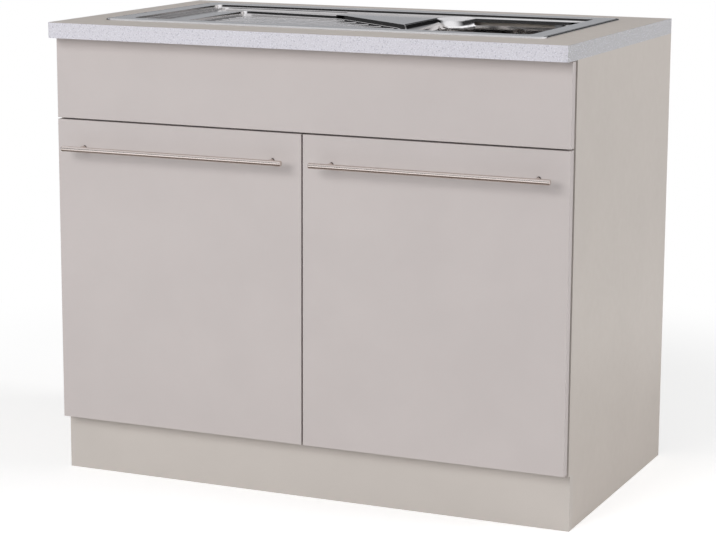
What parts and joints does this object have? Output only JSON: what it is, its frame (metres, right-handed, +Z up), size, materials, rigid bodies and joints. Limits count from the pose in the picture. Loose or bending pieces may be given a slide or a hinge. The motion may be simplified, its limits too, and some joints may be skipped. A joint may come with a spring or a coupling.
{
  "type": "kitchen sink base unit",
  "caption": "Base cabinet with hinged doors, bar handles, a false front and plinth, under a worktop with an inset steel sink, bowl at the right, ribbed drainer at the left, and a waste trap.",
  "frame": {"origin": "floor point under the middle of the unit's overall box", "axes": "+X to the right along the front, +Y from the front to the wall side, +Z up"},
  "size_m": [1, 0.605, 0.853],
  "materials": {
    "front_laminate": "smooth pale melamine face",
    "carcass_laminate": "smooth pale melamine face",
    "plinth_laminate": "smooth pale melamine face",
    "back_board": "thin painted hardboard",
    "worktop_laminate": "matt beige laminate",
    "edging_strip": "pale grey laminate strip",
    "sink_steel": "satin pressed sheet",
    "handle_steel": "fine brushed",
    "hinge_steel": "nickel plated",
    "bracket_steel": "zinc plated",
    "screw_steel": "zinc plated",
    "dowel_wood": "raw beech",
    "waste_plastic": "white moulded plastic",
    "grey_plastic": "dark grey moulded plastic",
    "black_rubber": "soft black",
    "clear_rubber": "soft pale disc"
  },
  "bodies": {
    "carcass": {"side_panel_left": "carcass_laminate", "side_panel_right": "carcass_laminate", "bottom_panel": "carcass_laminate", "front_rail": "carcass_laminate", "rear_rail": "carcass_laminate", "back_panel": "back_board", "plinth_board": "plinth_laminate", "cam_bolts": "screw_steel", "cam_discs": "screw_steel", "dowels": "dowel_wood", "false_front": "front_laminate", "false_front_pads": "grey_plastic", "false_front_screws": "screw_steel", "worktop_board": "worktop_laminate", "worktop_edging": "edging_strip", "angle_brackets": "bracket_steel", "bracket_screws": "screw_steel", "sink": "sink_steel", "sink_seal": "black_rubber", "sink_clips": "bracket_steel", "sink_clip_screws": "screw_steel", "strainer_flange": "sink_steel", "strainer_gasket": "black_rubber", "strainer_body": "waste_plastic", "strainer_screw": "screw_steel", "overflow_grille": "sink_steel", "overflow_screw": "screw_steel", "overflow_elbow": "waste_plastic", "overflow_pipe": "waste_plastic", "tail_pipe": "waste_plastic", "trap_body": "waste_plastic", "trap_cup": "waste_plastic", "outlet_pipe": "waste_plastic", "slip_nuts": "waste_plastic", "hinge_arms_left": "hinge_steel", "hinge_plates_left": "hinge_steel", "hinge_plate_screws_left": "screw_steel", "hinge_arms_right": "hinge_steel", "hinge_plates_right": "hinge_steel", "hinge_plate_screws_right": "screw_steel"},
    "door_left": {"door_left": "front_laminate", "handle_bar_left": "handle_steel", "handle_posts_left": "handle_steel", "handle_screws_left": "screw_steel", "door_buffers_left": "clear_rubber", "hinge_cups_left": "hinge_steel", "hinge_cup_screws_left": "screw_steel"},
    "links_left": {"hinge_links_left": "hinge_steel"},
    "door_right": {"door_right": "front_laminate", "handle_bar_right": "handle_steel", "handle_posts_right": "handle_steel", "handle_screws_right": "screw_steel", "door_buffers_right": "clear_rubber", "hinge_cups_right": "hinge_steel", "hinge_cup_screws_right": "screw_steel"},
    "links_right": {"hinge_links_right": "hinge_steel"},
    "basket": {"basket": "sink_steel", "basket_knob": "grey_plastic", "basket_seal": "black_rubber"}
  },
  "joints": [
    {"name": "door_left_hinge", "type": "hinge", "parent": "carcass", "child": "door_left", "pos_m": [-0.492, -0.2595, 0.38775], "axis": [0, 0, -1], "range_deg": [0, 105]},
    {"name": "links_left_pivot", "type": "hinge", "parent": "door_left", "child": "links_left", "pos_m": [-0.489, -0.2543, 0.38775], "axis": [0, 0, -1], "range_deg": [-136, 0]},
    {"name": "door_right_hinge", "type": "hinge", "parent": "carcass", "child": "door_right", "pos_m": [0.492, -0.2595, 0.38775], "axis": [0, 0, 1], "range_deg": [0, 105]},
    {"name": "links_right_pivot", "type": "hinge", "parent": "door_right", "child": "links_right", "pos_m": [0.489, -0.2543, 0.38775], "axis": [0, 0, 1], "range_deg": [-136, 0]},
    {"name": "basket_lift", "type": "slide", "parent": "carcass", "child": "basket", "axis": [0, 0, 1], "range_m": [0, 0.06]}
  ],
  "couplings": [
    {"joint": "links_left_pivot", "follows": "door_left_hinge", "ratio": -1.2925},
    {"joint": "links_right_pivot", "follows": "door_right_hinge", "ratio": -1.2925}
  ]
}
